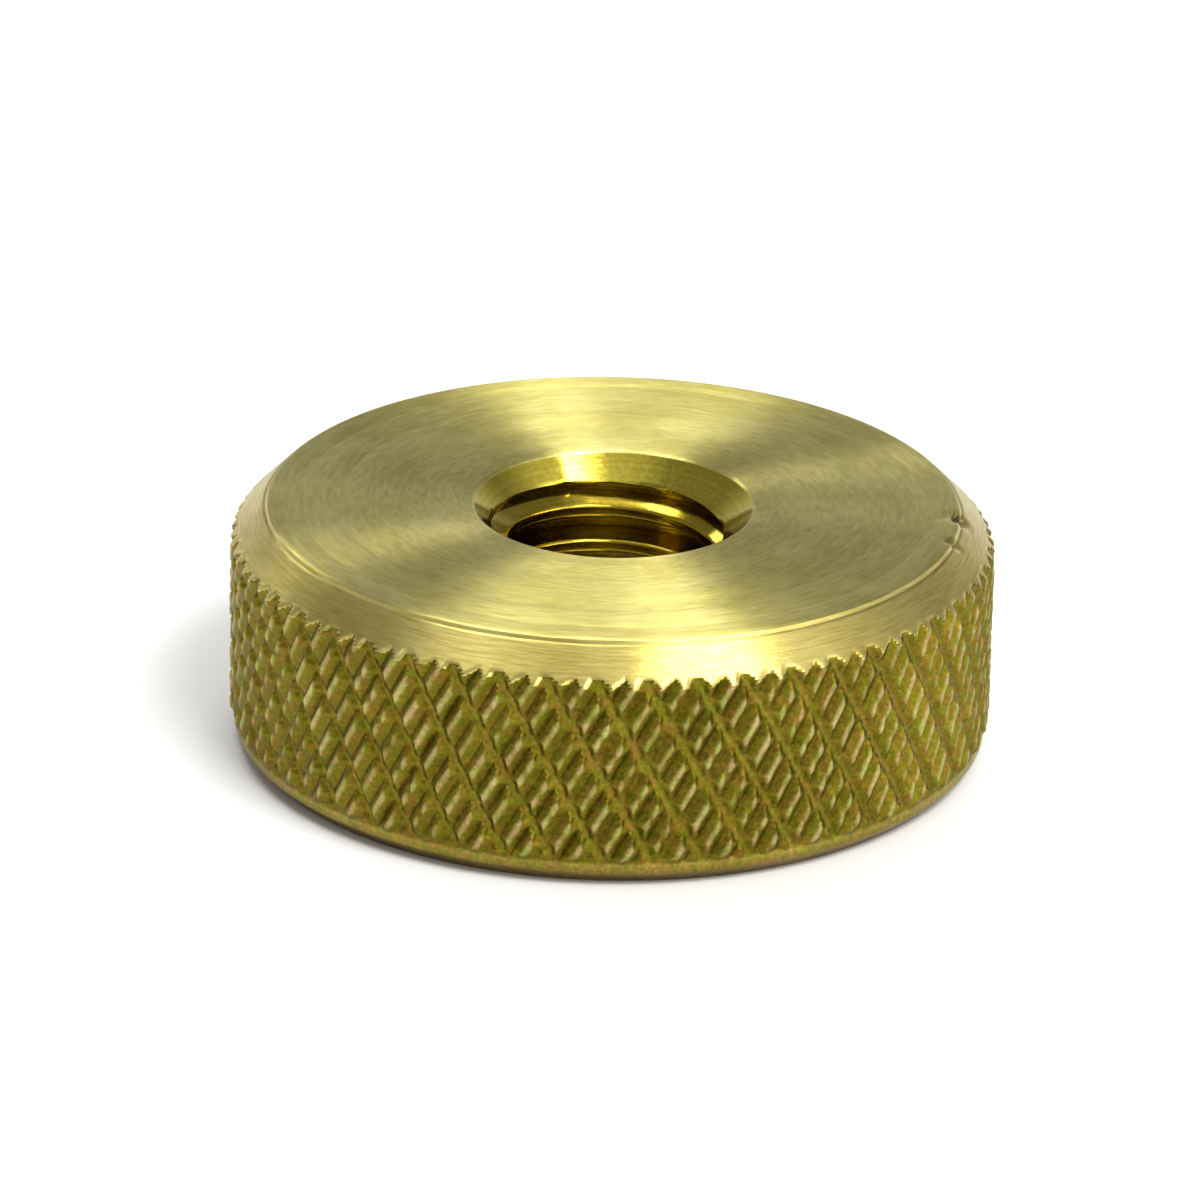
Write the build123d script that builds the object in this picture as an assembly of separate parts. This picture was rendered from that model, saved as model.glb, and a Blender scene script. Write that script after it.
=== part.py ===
"""Round knurled brass thumb nut, M8, turned from one piece of bar.

Millimetres, +Z up along the thread's axis, origin at the centre of the bottom face.
"""
from build123d import *
from build123d.topology import SkipClean

import math
import os

# Turned body
overall_diameter = 25.0  # over the crests of the knurl
blank_diameter = 24.6  # plain land below the knurl
thickness = 8.1
top_face_diameter = 22.5
bottom_face_diameter = 23.6
land_height = 0.8  # the knurl starts here, above the plain land
chamfer_angle = 45.0  # both outer chamfers, measured from the axis

# Diamond knurl, of raised pads between two families of helical grooves
knurl_teeth = 98  # grooves of each hand round the rim
knurl_angle = 30.0  # lean of the grooves from the axis
knurl_depth = 0.35
saddle_depth = 0.12  # dip in the middle of a pad, where a shallow groove crosses it
peak_inset = 0.55  # a pad's peaks lie this far in from its ends, in groove spacings
pads_per_column = 7  # enough to run past both ends of the rim

# Thread, M8 x 1.25
thread_pitch = 1.25
thread_major_diameter = 8.0
thread_minor_diameter = 6.8  # the tapping drill
thread_flank_angle = 30.0  # half of the thread's 60 degrees
groove_height_at_x = 0.43  # middle of the lowest turn of the groove, on the +X side
cutter_overlap = 0.1  # how far the thread cutter stands inside the bore

# Countersinks at both mouths of the hole
countersink_diameter = 9.2
countersink_depth = 1.2

# The threaded wall of the hole is made as a ring of equal sectors
core_diameter = 10.0
core_sectors = 8
first_sector_angle = 11.0  # keeps the joins away from the ends of the thread

clear = 1.0  # how far a shape runs past the faces that trim it

outer_radius = overall_diameter / 2
blank_radius = blank_diameter / 2
valley_radius = outer_radius - knurl_depth
top_face_radius = top_face_diameter / 2
bottom_face_radius = bottom_face_diameter / 2
minor_radius = thread_minor_diameter / 2
major_radius = thread_major_diameter / 2
mouth_radius = countersink_diameter / 2
core_radius = core_diameter / 2
knurl_step = math.pi * outer_radius / (knurl_teeth * math.tan(math.radians(knurl_angle)))


def turned(points):
    """Solid of revolution about Z from (radius, height) points."""
    outline = Polyline(*[(radius, 0, height) for radius, height in points], close=True)
    return revolve(make_face(outline), Axis.Z)


def knurl_point(u, v, radius):
    """Point where right-leaning line u crosses left-leaning line v of the knurl."""
    angle = math.pi * (u + v) / knurl_teeth
    return (radius * math.cos(angle), radius * math.sin(angle), (v - u) * knurl_step)


def pad_triangles(u, v):
    """One raised pad, one groove spacing wide and two long, with two peaks and a saddle."""
    low_left = knurl_point(u, v, valley_radius)
    low_right = knurl_point(u + 1, v, valley_radius)
    high_right = knurl_point(u + 1, v + 2, valley_radius)
    high_left = knurl_point(u, v + 2, valley_radius)
    low_peak = knurl_point(u + 0.5, v + peak_inset, outer_radius)
    high_peak = knurl_point(u + 0.5, v + 2 - peak_inset, outer_radius)
    saddle = knurl_point(u + 0.5, v + 1, outer_radius - saddle_depth)
    return [
        (low_left, low_right, low_peak),
        (low_right, saddle, low_peak),
        (low_right, high_right, saddle),
        (high_right, high_peak, saddle),
        (high_right, high_left, high_peak),
        (high_left, saddle, high_peak),
        (high_left, low_left, saddle),
        (low_left, low_peak, saddle),
    ]


def end_ring(rows):
    """The knurl's zigzag edge that lies the given number of rows up."""
    ring = []
    for u in range(0, knurl_teeth, 2):
        ring += [knurl_point(u + side, u + rows, valley_radius) for side in (0, 1, 2)]
    return ring


def knurled_bar():
    """Closed solid whose rim is the knurl, longer than the nut is thick."""
    triangles = []
    for u in range(knurl_teeth):
        first_v = u - u % 2
        for row in range(pads_per_column):
            triangles += pad_triangles(u, first_v + 2 * row)
    low_ring = end_ring(0)
    high_ring = end_ring(2 * pads_per_column)
    low_centre = (0, 0, low_ring[2][2] - clear)
    high_centre = (0, 0, high_ring[0][2] + clear)
    for index, point in enumerate(low_ring):
        triangles.append((low_centre, low_ring[(index + 1) % len(low_ring)], point))
    for index, point in enumerate(high_ring):
        triangles.append((high_centre, point, high_ring[(index + 1) % len(high_ring)]))
    faces = [Face(Wire.make_polygon(corners)) for corners in triangles]
    return Solid(Shell(faces))


def knurled_rim():
    """The knurled part of the body, trimmed by the top face and its chamfer."""
    drop = (outer_radius + clear - top_face_radius) / math.tan(math.radians(chamfer_angle))
    trim = turned(
        [
            (0, land_height),
            (outer_radius + clear, land_height),
            (outer_radius + clear, thickness - drop),
            (top_face_radius, thickness),
            (0, thickness),
        ]
    )
    return knurled_bar() & trim


def plain_land():
    """The smooth band and chamfer below the knurl."""
    chamfer_height = (blank_radius - bottom_face_radius) / math.tan(math.radians(chamfer_angle))
    return turned(
        [
            (0, 0),
            (bottom_face_radius, 0),
            (blank_radius, chamfer_height),
            (blank_radius, land_height),
            (0, land_height),
        ]
    )


def thread_groove():
    """One long helical V-groove of the 60 degree thread."""
    slope = math.tan(math.radians(thread_flank_angle))
    root_half = thread_pitch / 16
    inner_radius = minor_radius - cutter_overlap
    inner_half = root_half + (major_radius - inner_radius) * slope
    start_height = groove_height_at_x - thread_pitch
    turns = math.ceil((thickness + inner_half - start_height) / thread_pitch)
    path = Helix(thread_pitch, turns * thread_pitch, minor_radius, center=(0, 0, start_height))
    section_plane = Plane(origin=path @ 0, x_dir=(1, 0, 0), z_dir=path % 0)
    section = section_plane * make_face(
        Polyline(
            (inner_radius - minor_radius, -inner_half),
            (major_radius - minor_radius, -root_half),
            (major_radius - minor_radius, root_half),
            (inner_radius - minor_radius, inner_half),
            close=True,
        )
    )
    return sweep(section, path=path, is_frenet=True)


def threaded_core():
    """Wall of the hole, countersunk at both mouths and threaded, as a list of sectors."""
    ring = turned(
        [
            (minor_radius, countersink_depth),
            (mouth_radius, 0),
            (core_radius, 0),
            (core_radius, thickness),
            (mouth_radius, thickness),
            (minor_radius, thickness - countersink_depth),
        ]
    )
    threaded = ring.cut(thread_groove())
    reach = core_radius + clear
    half_plane = Polyline(
        (0, 0, -clear),
        (reach, 0, -clear),
        (reach, 0, thickness + clear),
        (0, 0, thickness + clear),
        close=True,
    )
    sector_angle = 360 / core_sectors
    wedge = revolve(make_face(half_plane), Axis.Z, sector_angle)
    turns = [first_sector_angle + sector_angle * index for index in range(core_sectors)]
    return [threaded & (Rot(0, 0, turn) * wedge) for turn in turns]


def knurled_nut():
    """The whole nut."""
    body = knurled_rim().fuse(plain_land())
    core_hole = turned(
        [
            (0, -clear),
            (core_radius, -clear),
            (core_radius, thickness + clear),
            (0, thickness + clear),
        ]
    )
    return body.cut(core_hole).fuse(*threaded_core())


os.makedirs("parts", exist_ok=True)
with SkipClean():
    nut = knurled_nut()
export_step(nut, "parts/knurled_nut.step")
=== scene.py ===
import math

import bmesh
import bpy
import numpy as np
from mathutils import Matrix, Vector


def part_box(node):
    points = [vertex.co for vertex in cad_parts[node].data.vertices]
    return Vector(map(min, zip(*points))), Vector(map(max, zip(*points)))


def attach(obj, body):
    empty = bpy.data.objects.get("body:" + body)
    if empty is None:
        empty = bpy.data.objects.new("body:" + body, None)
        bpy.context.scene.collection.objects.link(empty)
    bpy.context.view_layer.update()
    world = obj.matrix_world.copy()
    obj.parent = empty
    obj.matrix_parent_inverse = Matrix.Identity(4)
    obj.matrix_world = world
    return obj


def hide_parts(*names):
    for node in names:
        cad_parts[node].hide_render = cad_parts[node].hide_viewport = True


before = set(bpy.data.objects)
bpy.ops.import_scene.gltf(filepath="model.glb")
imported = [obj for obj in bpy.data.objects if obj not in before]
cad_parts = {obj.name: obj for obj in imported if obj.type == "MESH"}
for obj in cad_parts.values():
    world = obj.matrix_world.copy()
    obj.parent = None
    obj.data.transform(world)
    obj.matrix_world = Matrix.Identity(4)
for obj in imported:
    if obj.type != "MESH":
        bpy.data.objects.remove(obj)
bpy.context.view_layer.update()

# ---------------------------------------------------------------- sizes, in millimetres
MM = 0.001
LOW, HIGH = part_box("knurled_nut")
OUTER = (HIGH[0] - LOW[0]) / 2 / MM
HEIGHT = (HIGH[2] - LOW[2]) / MM

# outline: smooth land at the bottom, knurl, 45 degree bevel and top face
LAND_RADIUS = 12.3
LAND = 0.8
SHOULDER = (LAND - 0.05, LAND + 0.22)
TOP_EDGE = 11.25
BOTTOM_EDGE = 11.8
BOTTOM_BEVEL = LAND_RADIUS - BOTTOM_EDGE

# countersinks and thread
MOUTH = 4.6
SINK_DEPTH = 0.5
MINOR = 3.4
MAJOR = 4.0
PITCH = 1.25
GROOVE_AT_X = 0.472
ROOT_HALF = 0.12
FLANK = math.tan(math.radians(30.0))
# turns of the thread, which run past both ends of the hole and are cut off there
FIRST_TURN = -2
LAST_TURN = math.ceil(HEIGHT / PITCH) + 1

# knurl: two sets of crossing grooves; a groove moves half a tooth round in each STEP of height
TEETH = 98
LEAN = math.radians(30.0)
STEP = math.pi * OUTER / (TEETH * math.tan(LEAN))
VALLEY = OUTER - 0.3

# points round the rim, and rows of them up it to just past where the grooves meet the bevel
PER_TOOTH = 8
COLUMNS = TEETH * PER_TOOTH
COARSE = COLUMNS // 4
ROW = STEP / PER_TOOTH
PAST_GROOVES = 0.12
FIRST_ROW = math.ceil(LAND / ROW)
LAST_ROW = math.ceil((HEIGHT + TOP_EDGE - VALLEY + PAST_GROOVES) / ROW)
# where the points of one tooth stand across it, and how high each is on the ridge
ACROSS = (0.0, 0.13, 0.27, 0.395, 0.48, 0.565, 0.71, 0.86)
RIDGE = (0.0, 0.32, 0.66, 0.97, 1.0, 0.95, 0.62, 0.28)

# rounding where grooves cross and where the bevel cuts them, and how near to it metal is turned
CROSSING = 0.08
ROUNDING = 0.08
ON_BEVEL = 0.03

# lip round the mouth of a countersink: (radius beyond the mouth, depth below the face)
MOUTH_FACE = MOUTH + 0.06
MOUTH_LIP = ((0.015, 0.012), (-0.03, 0.03), (-0.07, 0.07))

# marks knocked into the edge of the top face: angle and half width in degrees, and depth;
# they are deepest a little below the face, and fade out above and below that
NICKS = ((-3.0, 1.7, 0.16), (-13.5, 0.9, 0.07))
NICK_BELOW = 0.08
NICK_REACH = 0.3
# half length in millimetres of the painted shade at a nick of no width, and what each degree adds
NICK_SHADE_LENGTH = 0.5
NICK_SHADE_PER_DEGREE = 0.25

# material of each face
KNURLED, TURNED, THREADED = 0, 1, 2

# points nearer than this are one point, and edges turned more than this are sharp
SAME_POINT = 0.0005
TINY_EDGE = 0.0004
SHARP = math.radians(38)


# ---------------------------------------------------------------- shape helpers
def smooth_min(a, b, width):
    """Smaller of two heights, with a rounded corner about as wide as given."""
    h = np.clip(0.5 + 0.5 * (b - a) / width, 0.0, 1.0)
    return b + (a - b) * h - width * h * (1.0 - h)


def smooth_step(low, high, value):
    """0 below low, 1 above high and a soft rise between them."""
    t = np.clip((value - low) / (high - low), 0.0, 1.0)
    return t * t * (3.0 - 2.0 * t)


def direction(azimuth, elevation):
    """Unit vector. Azimuth 0 is +X and 90 is behind the nut."""
    turn, rise = math.radians(azimuth), math.radians(elevation)
    return Vector(
        (math.cos(turn) * math.cos(rise), math.sin(turn) * math.cos(rise), math.sin(rise))
    )


class Skin:
    """Vertices and faces of one closed surface, added ring by ring."""

    def __init__(self):
        self.points = []
        self.faces = []
        self.zones = []

    def ring(self, radius, height, angle):
        first = sum(len(block) for block in self.points)
        radius = np.broadcast_to(radius, angle.shape)
        height = np.broadcast_to(height, angle.shape)
        block = np.stack([radius * np.cos(angle), radius * np.sin(angle), height], axis=1)
        self.points.append(block)
        return first + np.arange(len(angle))

    def strip(self, lower, upper, zone):
        """Faces between two rings of the same count, each square split along one diagonal."""
        count = len(lower)
        zones = np.broadcast_to(zone, count)
        for index in range(count):
            after = (index + 1) % count
            a, b, c, d = lower[index], lower[after], upper[after], upper[index]
            self.faces += [(a, b, d), (b, c, d)]
            self.zones += [int(zones[index])] * 2

    def coarsen(self, fine, coarse, zone, flip):
        """Faces between a ring and one inside it with a quarter as many points."""
        count = len(coarse)
        for index in range(count):
            after = (index + 1) % count
            run = [fine[(4 * index + k) % len(fine)] for k in range(5)]
            near, far = coarse[index], coarse[after]
            made = [
                (run[0], run[1], near),
                (run[1], run[2], near),
                (run[2], far, near),
                (run[2], run[3], far),
                (run[3], run[4], far),
            ]
            if flip:
                made = [face[::-1] for face in made]
            self.faces += made
            self.zones += [zone] * len(made)


# ---------------------------------------------------------------- knurl
def knurl_tables(rng):
    """How much each groove and each pad differs from its neighbours."""
    return {
        "shift": rng.uniform(-0.04, 0.04, TEETH),
        "right": rng.uniform(0.74, 0.88, TEETH),
        "left": rng.uniform(0.88, 0.96, TEETH),
        "dip": rng.uniform(0.0, 0.25, TEETH),
        "pad": rng.uniform(0.0, 0.13, (TEETH, TEETH)),
        "worn": rng.uniform(0.0, 0.06, (TEETH, 2 * TEETH)),
    }


def tooth_parts(u):
    """Which tooth column u belongs to, and which of that tooth's points it is."""
    tooth = np.floor(u).astype(int) % TEETH
    part = np.round((u - np.floor(u)) * PER_TOOTH).astype(int)
    return tooth, part


def tooth_place(u, tables):
    """Where column u really stands: points gathered at the ridge, teeth not quite even."""
    tooth, part = tooth_parts(u)
    return np.floor(u) + np.array(ACROSS)[part] + tables["shift"][tooth]


def knurl_radius(u, w, tables):
    """Radius of the knurl where right-leaning line u is w steps up the rim.

    Every second left-leaning groove is deep, and the ones between are shallow dips.
    """
    v = u + w
    tooth, part = tooth_parts(u)
    near_v = np.round(v / 2.0) * 2.0
    v_index = near_v.astype(int) % TEETH
    between = np.floor(v / 2.0).astype(int) % TEETH
    across_v = np.abs(v - near_v)
    rise_v = np.interp(across_v, [0.0, 0.1, 0.45, 1.0], [0.0, 0.0, 1.0, 1.0])
    dip = tables["dip"][between] * smooth_step(0.7, 1.0, across_v)
    flank_u = 1.0 - tables["right"][tooth] * (1.0 - np.array(RIDGE)[part])
    flank_v = 1.0 - tables["left"][v_index] * (1.0 - rise_v)
    loss = tables["pad"][tooth, between] + dip
    loss = loss + tables["worn"][tooth, np.floor(2.0 * v).astype(int) % (2 * TEETH)]
    height = smooth_min(flank_u, flank_v, CROSSING) * (1.0 - loss)
    return VALLEY + (OUTER - VALLEY) * np.clip(height, 0.0, 1.0)


def rim(skin, rng):
    """The knurled band, from the smooth land up over the bevel. Returns rings and columns."""
    tables = knurl_tables(rng)
    u = np.arange(COLUMNS) / PER_TOOTH
    place = tooth_place(u, tables)
    base = LAND_RADIUS - 0.03
    rings = []
    gaps = []
    for row in range(FIRST_ROW, LAST_ROW + 1):
        w = row / PER_TOOTH
        height = row * ROW
        angle = math.pi * (2.0 * place + w) / TEETH
        fade = smooth_step(*SHOULDER, height)
        radius = base + (knurl_radius(u, w, tables) - base) * fade
        bevel = TOP_EDGE + HEIGHT - height
        radius = smooth_min(radius, bevel, ROUNDING)
        gaps.append(bevel - radius)
        rings.append(skin.ring(radius, height, angle))
    for index in range(len(rings) - 1):
        on_bevel = (gaps[index] + gaps[index + 1]) / 2 < ON_BEVEL
        skin.strip(rings[index], rings[index + 1], np.where(on_bevel, TURNED, KNURLED))
    return rings, place


# ---------------------------------------------------------------- threaded hole
def thread_profile():
    """(offset up from the groove's middle, radius) over one pitch, with the crest inside it."""
    wide = ROOT_HALF + (MAJOR - MINOR) * FLANK
    profile = [(-ROOT_HALF, MAJOR), (0.0, MAJOR + 0.01), (ROOT_HALF, MAJOR)]
    for share in (0.2, 0.4, 0.6, 0.8, 0.93):
        profile.append((ROOT_HALF + (wide - ROOT_HALF) * share, MAJOR - (MAJOR - MINOR) * share))
    # the crest's corner is a little rounded
    profile.append((wide + 0.025, MINOR + 0.006))
    profile.append((wide + 0.07, MINOR))
    mirrored = [(PITCH - offset, radius) for offset, radius in profile[3:]][::-1]
    return profile + [(PITCH / 2, MINOR)] + mirrored


def hole(skin):
    """Countersinks and thread as one helical grid. Returns the angles of its columns."""
    profile = thread_profile()
    rows = len(profile)
    angle = 2 * math.pi * np.arange(COARSE) / COARSE
    lift = PITCH * angle / (2 * math.pi)
    grid = []
    for turn in range(FIRST_TURN, LAST_TURN + 1):
        for offset, radius in profile:
            z = GROOVE_AT_X + turn * PITCH + offset + lift
            z = np.clip(z, SINK_DEPTH, HEIGHT - SINK_DEPTH)
            cone = np.maximum(MOUTH - z, MOUTH - (HEIGHT - z))
            wall = np.maximum(np.full_like(z, radius), cone)
            grid.append(skin.ring(wall, z, angle))
    for index in range(len(grid) - 1):
        lower, upper = grid[index], grid[index + 1]
        for column in range(COARSE):
            after = column + 1
            a, d = lower[column], upper[column]
            if after < COARSE:
                b, c = lower[after], upper[after]
            elif index + 1 + rows < len(grid):
                # after a full turn the helix is one pitch higher
                b, c = grid[index + rows][0], grid[index + rows + 1][0]
            else:
                continue
            skin.faces += [(a, d, b), (b, d, c)]
            skin.zones += [THREADED, THREADED]
    return angle


# ---------------------------------------------------------------- the nut
def nick_depth(angle):
    """How deep the nicks are at each angle round the top edge."""
    depth = np.zeros(len(angle))
    for at, wide, deep in NICKS:
        off = np.degrees(np.angle(np.exp(1j * (angle - math.radians(at)))))
        depth += deep * np.exp(-((off / wide) ** 2))
    return depth


def top_side(skin, last_ring, place, turn):
    """Upper bevel with its worn edge, and the top face. Returns the ring at the mouth."""
    fine_angle = math.pi * 2.0 * place / TEETH + turn
    previous = last_ring
    start = LAST_ROW * ROW
    edge = [(TOP_EDGE + HEIGHT - z, z) for z in np.linspace(start, HEIGHT - 0.2, 4)[1:]]
    edge += [(TOP_EDGE + 0.17, HEIGHT - 0.17), (TOP_EDGE + 0.09, HEIGHT - 0.15)]
    edge += [(TOP_EDGE + 0.03, HEIGHT - 0.035), (TOP_EDGE - 0.04, HEIGHT - 0.004)]
    edge += [(TOP_EDGE - 0.13, HEIGHT)]
    nick = nick_depth(fine_angle)
    for radius, z in edge:
        share = max(0.0, 1.0 - abs(HEIGHT - NICK_BELOW - z) / NICK_REACH)
        ring = skin.ring(radius - nick * share, z - nick * share, fine_angle)
        skin.strip(previous, ring, TURNED)
        previous = ring
    # (radius, depth below the top): two faint turned rings, then the lip of the countersink
    face = [
        (TOP_EDGE - 0.3, 0.0),
        (10.36, 0.0),
        (10.31, 0.012),
        (10.26, 0.004),
        (9.02, 0.004),
        (8.98, 0.009),
        (8.92, 0.003),
        (7.0, 0.003),
        (5.6, 0.002),
        (MOUTH_FACE, 0.002),
    ]
    face += [(MOUTH + beyond, drop) for beyond, drop in MOUTH_LIP]
    coarse_angle = fine_angle[::4]
    ring = skin.ring(face[0][0], HEIGHT - face[0][1], coarse_angle)
    skin.coarsen(previous, ring, TURNED, flip=False)
    for radius, drop in face[1:]:
        previous = ring
        ring = skin.ring(radius, HEIGHT - drop, coarse_angle)
        skin.strip(previous, ring, TURNED)
    return ring


def bottom_side(skin, first_ring, place, turn):
    """Smooth land, lower bevel and bottom face. Returns the ring at the mouth."""
    fine_angle = math.pi * 2.0 * place / TEETH + turn
    previous = first_ring
    low = [
        (LAND_RADIUS, LAND - 0.04),
        (LAND_RADIUS, BOTTOM_BEVEL + 0.04),
        (LAND_RADIUS - 0.02, BOTTOM_BEVEL),
        (BOTTOM_EDGE + 0.04, 0.06),
        (BOTTOM_EDGE - 0.02, 0.012),
        (BOTTOM_EDGE - 0.08, 0.0),
    ]
    for radius, z in low:
        ring = skin.ring(radius, z, fine_angle)
        skin.strip(ring, previous, KNURLED)
        previous = ring
    face = [(BOTTOM_EDGE - 0.4, 0.0), (8.0, 0.0), (MOUTH_FACE, 0.0)]
    face += [(MOUTH + beyond, z) for beyond, z in MOUTH_LIP]
    coarse_angle = fine_angle[::4]
    ring = skin.ring(face[0][0], face[0][1], coarse_angle)
    skin.coarsen(previous, ring, TURNED, flip=True)
    for radius, z in face[1:]:
        previous = ring
        ring = skin.ring(radius, z, coarse_angle)
        skin.strip(ring, previous, TURNED)
    return ring


def build_nut():
    rng = np.random.default_rng(7)
    skin = Skin()
    rings, place = rim(skin, rng)
    top_turn = math.pi * (LAST_ROW / PER_TOOTH) / TEETH
    low_turn = math.pi * (FIRST_ROW / PER_TOOTH) / TEETH
    top_mouth = top_side(skin, rings[-1], place, top_turn)
    low_mouth = bottom_side(skin, rings[0], place, low_turn)

    # the hole's own rings start at +X, so both mouths are joined to it nearest to nearest
    angle = hole(skin)
    top_ring = skin.ring(MOUTH - SINK_DEPTH, HEIGHT - SINK_DEPTH, angle)
    low_ring = skin.ring(MOUTH - SINK_DEPTH, SINK_DEPTH, angle)
    top_shift = int(round(top_turn / (2 * math.pi) * COARSE))
    low_shift = int(round(low_turn / (2 * math.pi) * COARSE))
    skin.strip(top_mouth, np.roll(top_ring, -top_shift), THREADED)
    skin.strip(np.roll(low_ring, -low_shift), low_mouth, THREADED)
    return skin


def make_object(skin, name):
    """Mesh object in metres, with points that lie on each other joined."""
    points = np.concatenate(skin.points) * MM
    mesh = bpy.data.meshes.new(name)
    mesh.from_pydata(points.tolist(), [], [tuple(int(i) for i in face) for face in skin.faces])
    mesh.polygons.foreach_set("material_index", np.array(skin.zones, dtype=np.int32))
    edit = bmesh.new()
    edit.from_mesh(mesh)
    bmesh.ops.remove_doubles(edit, verts=edit.verts[:], dist=SAME_POINT * MM)
    bmesh.ops.dissolve_degenerate(edit, edges=edit.edges[:], dist=TINY_EDGE * MM)
    loose = [vert for vert in edit.verts if not vert.link_faces]
    bmesh.ops.delete(edit, geom=loose, context="VERTS")
    bmesh.ops.recalc_face_normals(edit, faces=edit.faces[:])
    edit.to_mesh(mesh)
    edit.free()
    mesh.shade_smooth()
    mesh.set_sharp_from_angle(angle=SHARP)
    piece = bpy.data.objects.new(name, mesh)
    bpy.context.scene.collection.objects.link(piece)
    return piece


# ---------------------------------------------------------------- materials
class Nodes:
    """Small helper for building the node tree of a material or a world."""

    def __init__(self, owner):
        owner.use_nodes = True
        self.tree = owner.node_tree
        self.tree.nodes.clear()

    def add(self, kind, inputs=None, **settings):
        node = self.tree.nodes.new(kind)
        for key, value in settings.items():
            setattr(node, key, value)
        for key, value in (inputs or {}).items():
            self.set(node, key, value)
        return node

    def set(self, node, key, value):
        socket = node.inputs[key]
        if isinstance(value, bpy.types.NodeSocket):
            self.tree.links.new(value, socket)
        else:
            socket.default_value = value

    def math(self, operation, *values):
        return self.add("ShaderNodeMath", dict(enumerate(values)), operation=operation).outputs[0]

    def vector(self, operation, *values):
        """Outputs of a vector operation: Vector, and Value where the result is a number."""
        inputs = dict(enumerate(values))
        return self.add("ShaderNodeVectorMath", inputs, operation=operation).outputs

    def fade(self, value, start, width):
        """0 at start and 1 a width further on, or further back where width is negative."""
        return self.math("MULTIPLY_ADD", value, 1.0 / width, -start / width)

    def split(self, vector):
        return self.add("ShaderNodeSeparateXYZ", {0: vector}).outputs

    def blend(self, a, share_a, b, share_b):
        """Sum of two values, each times its share."""
        left = self.math("MULTIPLY", a, share_a)
        right = self.math("MULTIPLY", b, share_b)
        return self.math("ADD", left, right)

    def ramp(self, factor, stops):
        node = self.add("ShaderNodeValToRGB", {"Fac": factor})
        elements = node.color_ramp.elements
        while len(elements) < len(stops):
            elements.new(0.5)
        for element, (place, colour) in zip(elements, stops):
            element.position = place
            element.color = (*colour, 1.0)
        return node.outputs["Color"]

    def mix(self, kind, factor, a, b):
        """Colour b over colour a; sockets 6 and 7 are the mix node's colours."""
        node = self.add("ShaderNodeMix", data_type="RGBA", blend_type=kind)
        self.set(node, "Factor", factor)
        self.set(node, 6, a)
        self.set(node, 7, b)
        return node.outputs[2]

    def noise(self, where, scale, detail):
        inputs = {"Vector": where, "Scale": scale, "Detail": detail}
        return self.add("ShaderNodeTexNoise", inputs).outputs["Fac"]

    def where(self):
        """Distance from the nut's axis, position and height, all in millimetres."""
        scaled = self.add("ShaderNodeVectorMath", operation="SCALE")
        self.set(scaled, 0, self.add("ShaderNodeTexCoord").outputs["Object"])
        self.set(scaled, "Scale", 1.0 / MM)
        place = scaled.outputs[0]
        parts = self.split(place)
        x, y = parts["X"], parts["Y"]
        square = self.math("ADD", self.math("MULTIPLY", x, x), self.math("MULTIPLY", y, y))
        return self.math("SQRT", square), place, parts["Z"]

    def around(self, place, radius, height, turn):
        """Position for marks that run round the axis; turn is how fast they change on the way."""
        parts = self.split(place)
        x = self.math("MULTIPLY", self.math("DIVIDE", parts["X"], radius), turn)
        y = self.math("MULTIPLY", self.math("DIVIDE", parts["Y"], radius), turn)
        across = self.math("SUBTRACT", radius, height)
        return self.add("ShaderNodeCombineXYZ", {"X": x, "Y": y, "Z": across}).outputs[0]

    def metal(self, colour, rough, strength, distance, height):
        """Metal shader with a bump, joined to the output."""
        bumps = {"Strength": strength, "Distance": distance, "Height": height}
        bump = self.add("ShaderNodeBump", bumps)
        shader = self.add("ShaderNodeBsdfPrincipled", {"Base Color": colour, "Metallic": 1.0})
        self.set(shader, "Roughness", rough)
        self.set(shader, "Normal", bump.outputs[0])
        self.add("ShaderNodeOutputMaterial", {"Surface": shader.outputs[0]})
        return shader

    def stretch(self, shader, amount):
        """Spread the highlight across the lathe's grooves, which run round the axis."""
        tangent = self.add("ShaderNodeTangent", direction_type="RADIAL", axis="Z")
        self.set(shader, "Anisotropic", amount)
        self.set(shader, "Anisotropic Rotation", 0.25)
        self.set(shader, "Tangent", tangent.outputs[0])


def nick_painted_shade(nodes, colour, place, ragged):
    """The colour, darkened with painted shade in and beside the nicks."""
    for at, wide, deep in NICKS:
        middle = direction(at, 0) * (TOP_EDGE - 0.05)
        middle.z = HEIGHT - 0.1
        # a patch longer along the edge than across it or down it
        length = NICK_SHADE_LENGTH + wide * NICK_SHADE_PER_DEGREE
        reach = nodes.vector("SUBTRACT", place, middle)["Vector"]
        reach = nodes.vector("MULTIPLY", reach, (4.5, 1.6 / length, 3.6))["Vector"]
        away = nodes.math("MULTIPLY_ADD", ragged, 1.2, nodes.vector("LENGTH", reach)["Value"])
        # the deeper the nick, the darker its painted shade
        left = 1.0 - 5.0 * deep
        dark = (left, left * 0.9, left * 0.85, 1.0)
        colour = nodes.mix("MULTIPLY", nodes.fade(away, 1.6, -0.5), colour, dark)
    return colour


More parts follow.
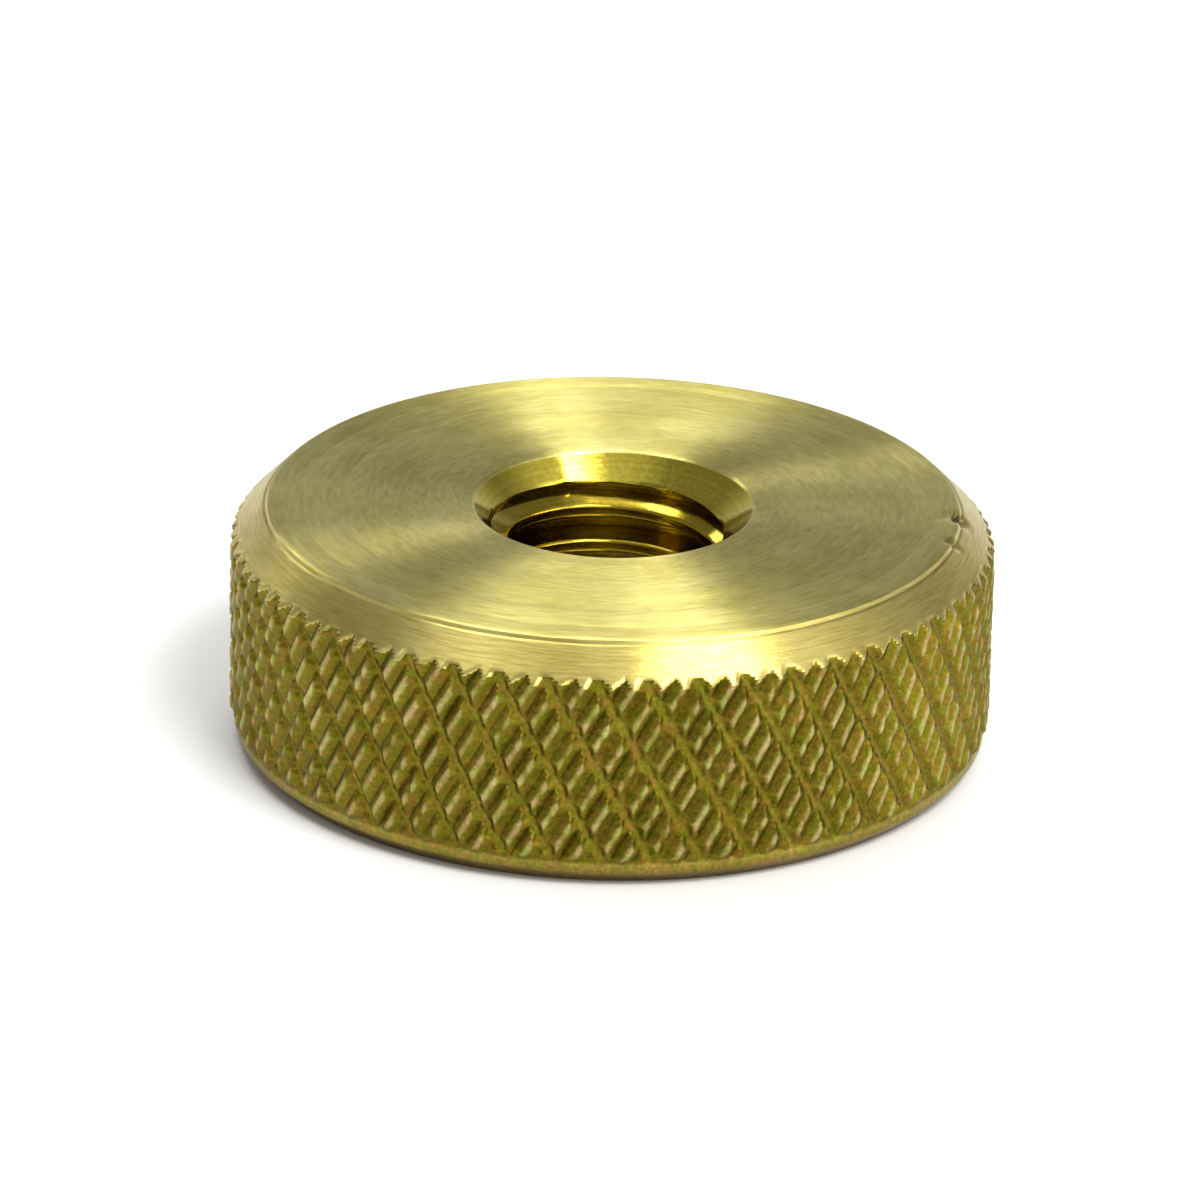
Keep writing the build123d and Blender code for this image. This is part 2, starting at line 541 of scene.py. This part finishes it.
def turned_brass():
    """Faces cut on the lathe: fine rings, and a highlight that fans out across them."""
    material = bpy.data.materials.new("turned_brass")
    nodes = Nodes(material)
    radius, place, height = nodes.where()
    fine = nodes.noise(nodes.around(place, radius, height, 1.6), 7.0, 4.0)
    broad = nodes.noise(nodes.around(place, radius, height, 0.25), 1.6, 3.0)
    patches = nodes.noise(place, 0.35, 4.0)
    scratches = nodes.noise(place, 14.0, 3.0)
    colour = nodes.ramp(
        nodes.blend(fine, 0.5, patches, 0.5),
        [(0.38, (0.56, 0.485, 0.13)), (0.5, (0.67, 0.595, 0.18)), (0.62, (0.78, 0.70, 0.25))],
    )
    # painted shade: the bevel, beyond the top face's edge, is made a little darker and redder
    beyond = nodes.fade(radius, TOP_EDGE, 0.1)
    colour = nodes.mix("MULTIPLY", beyond, colour, (0.86, 0.80, 0.78, 1.0))
    # painted shade in and beside the nicks
    colour = nick_painted_shade(nodes, colour, place, fine)
    rough = nodes.math("ADD", nodes.blend(broad, 0.12, scratches, 0.10), 0.22)
    grooves = nodes.blend(fine, 1.0, scratches, 0.15)
    nodes.stretch(nodes.metal(colour, rough, 0.45, 0.03 * MM, grooves), 0.96)
    return material


def knurled_brass():
    """Knurl and land: painted highlight on the tops and painted shade on the flanks, speckled
    with green and brown.
    """
    material = bpy.data.materials.new("knurled_brass")
    nodes = Nodes(material)
    radius, place, height = nodes.where()
    depth = nodes.math("DIVIDE", nodes.math("SUBTRACT", radius, VALLEY), OUTER - VALLEY)
    # painted light and shade by depth: pale tops are a painted highlight, dark flanks painted
    # shade, and groove bottoms a little lighter as a painted reflection
    cut = nodes.ramp(
        depth,
        [
            (0.03, (0.22, 0.175, 0.019)),
            (0.2, (0.17, 0.13, 0.010)),
            (0.7, (0.19, 0.15, 0.014)),
            (0.95, (0.42, 0.37, 0.12)),
        ],
    )
    # painted shade: the land is darker and browner towards the floor
    land = nodes.ramp(
        height,
        [(0.3, (0.20, 0.13, 0.022)), (0.55, (0.27, 0.205, 0.032)), (0.75, (0.32, 0.26, 0.045))],
    )
    above_land = nodes.fade(height, LAND - 0.05, 0.125)
    colour = nodes.mix("MIX", above_land, land, cut)
    grain = nodes.noise(place, 7.0, 4.0)
    shade = nodes.ramp(
        nodes.blend(nodes.noise(place, 0.6, 3.0), 0.3, grain, 0.7),
        [(0.3, (0.6, 0.6, 0.55)), (0.5, (0.9, 0.9, 0.9)), (0.7, (1.35, 1.35, 1.6))],
    )
    stain = nodes.ramp(
        nodes.noise(place, 3.0, 3.0),
        [(0.36, (0.86, 1.06, 0.8)), (0.5, (1.0, 1.0, 1.0)), (0.64, (1.15, 0.93, 1.3))],
    )
    colour = nodes.mix("MULTIPLY", 1.0, colour, nodes.mix("MULTIPLY", 1.0, shade, stain))
    rough = nodes.math("ADD", nodes.math("MULTIPLY", grain, 0.25), 0.3)
    nodes.metal(colour, rough, 0.5, 0.05 * MM, grain)
    return material


def threaded_brass():
    """Countersink and thread: shinier, cut with a sharper tool."""
    material = bpy.data.materials.new("threaded_brass")
    nodes = Nodes(material)
    radius, place, height = nodes.where()
    rings_at = nodes.add("ShaderNodeCombineXYZ", {"X": radius, "Y": height}).outputs[0]
    fine = nodes.noise(rings_at, 7.0, 3.0)
    grain = nodes.noise(place, 6.0, 4.0)
    colour = nodes.ramp(
        nodes.blend(fine, 0.5, grain, 0.5),
        [(0.3, (0.43, 0.34, 0.035)), (0.5, (0.53, 0.44, 0.055)), (0.7, (0.65, 0.56, 0.09))],
    )
    # painted shade: the thread is darker and browner from 0.8 mm below the top down
    hole_shade = nodes.fade(height, HEIGHT - 0.8, -0.5)
    colour = nodes.mix("MULTIPLY", hole_shade, colour, (0.74, 0.66, 0.5, 1.0))
    rough = nodes.math("ADD", nodes.math("MULTIPLY", grain, 0.08), 0.09)
    nodes.stretch(nodes.metal(colour, rough, 0.08, 0.03 * MM, fine), 0.6)
    return material


def floor_material():
    material = bpy.data.materials.new("pale_floor")
    nodes = Nodes(material)
    paint = {"Base Color": (0.86, 0.86, 0.86, 1.0), "Roughness": 0.75}
    shader = nodes.add("ShaderNodeBsdfPrincipled", paint)
    nodes.add("ShaderNodeOutputMaterial", {"Surface": shader.outputs[0]})
    return material


# ---------------------------------------------------------------- build
nut = make_object(build_nut(), "knurled_nut_detail")
nut.data.materials.append(knurled_brass())
nut.data.materials.append(turned_brass())
nut.data.materials.append(threaded_brass())
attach(nut, "root")
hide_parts("knurled_nut")

# ---------------------------------------------------------------- floor, in metres
REACH = 2.0
FLOOR_GAP = 0.00001
floor_mesh = bpy.data.meshes.new("floor")
floor_mesh.from_pydata(
    [(-REACH, -REACH, 0), (REACH, -REACH, 0), (REACH, REACH, 0), (-REACH, REACH, 0)],
    [],
    [(0, 1, 2, 3)],
)
floor_mesh.materials.append(floor_material())
floor = bpy.data.objects.new("floor", floor_mesh)
floor.location = (0, 0, LOW[2] - FLOOR_GAP)
bpy.context.scene.collection.objects.link(floor)


# ---------------------------------------------------------------- light
def soft_box(name, azimuth, elevation, wide, tall, brightness):
    """Soft box a metre away that faces the nut, wide and tall in degrees as seen from it."""
    light = bpy.data.lights.new(name, "AREA")
    light.shape = "RECTANGLE"
    light.size = 2 * math.tan(math.radians(wide / 2))
    light.size_y = 2 * math.tan(math.radians(tall / 2))
    light.energy = brightness * math.pi * light.size * light.size_y
    holder = bpy.data.objects.new(name, light)
    away = direction(azimuth, elevation)
    side = Vector((-away.y, away.x, 0)).normalized()
    top = away.cross(side)
    holder.matrix_world = Matrix(
        (
            (side.x, top.x, away.x, away.x),
            (side.y, top.y, away.y, away.y),
            (side.z, top.z, away.z, away.z),
            (0, 0, 0, 1),
        )
    )
    bpy.context.scene.collection.objects.link(holder)


soft_box("overhead_back", 101, 69.5, 33, 20, 5.2)
soft_box("front_right", -50, 55, 27, 18, 15.5)
soft_box("back_left", 120, 33.5, 20, 9, 3.5)
soft_box("left_fill", 155, 70, 24, 15, 2.5)


# brightness of the walls and ceiling by height, and of a glow from one side
WALLS = ((0.0, 0.82), (0.2, 0.57), (0.45, 0.26), (0.85, 0.3), (1.0, 1.3))
GLOW_FROM = (-35, 24)
GLOW_NARROWNESS = 6.0
GLOW_BRIGHTNESS = 2.1


def studio_world():
    """Pale low walls, a glow from the right, a dim band above and a bright ceiling."""
    world = bpy.data.worlds.new("studio")
    nodes = Nodes(world)
    where = nodes.add("ShaderNodeTexCoord").outputs["Generated"]
    walls = nodes.ramp(nodes.split(where)["Z"], [(rise, (level,) * 3) for rise, level in WALLS])
    toward = nodes.vector("DOT_PRODUCT", where, direction(*GLOW_FROM))["Value"]
    glow = nodes.math("POWER", nodes.math("MAXIMUM", toward, 0.0), GLOW_NARROWNESS)
    strength = nodes.math("MULTIPLY_ADD", glow, GLOW_BRIGHTNESS, walls)
    room = {"Color": (1.0, 0.99, 0.96, 1.0), "Strength": strength}
    background = nodes.add("ShaderNodeBackground", room)
    nodes.add("ShaderNodeOutputWorld", {"Surface": background.outputs[0]})
    return world


bpy.context.scene.world = studio_world()
bpy.context.scene.view_settings.view_transform = "Standard"

# ---------------------------------------------------------------- camera, in millimetres
LOOK_DOWN = math.radians(22.966)
ROLL = math.radians(1.2169)
DISTANCE = 289.7
ASIDE = -0.284
ABOVE = 4.298

forward = Vector((0, math.cos(LOOK_DOWN), -math.sin(LOOK_DOWN)))
level_right = Vector((1, 0, 0))
level_up = Vector((0, math.sin(LOOK_DOWN), math.cos(LOOK_DOWN)))
right = level_right * math.cos(ROLL) + level_up * math.sin(ROLL)
up = level_up * math.cos(ROLL) - level_right * math.sin(ROLL)
view_from = right * ASIDE + up * ABOVE - forward * DISTANCE

lens = bpy.data.cameras.new("camera")
lens.lens = 264.06
lens.sensor_width = 36.0
lens.clip_start = 0.01
lens.clip_end = 20.0
camera = bpy.data.objects.new("camera", lens)
camera.matrix_world = Matrix(
    (
        (right.x, up.x, -forward.x, view_from.x * MM),
        (right.y, up.y, -forward.y, view_from.y * MM),
        (right.z, up.z, -forward.z, view_from.z * MM),
        (0, 0, 0, 1),
    )
)
bpy.context.scene.collection.objects.link(camera)
bpy.context.scene.camera = camera
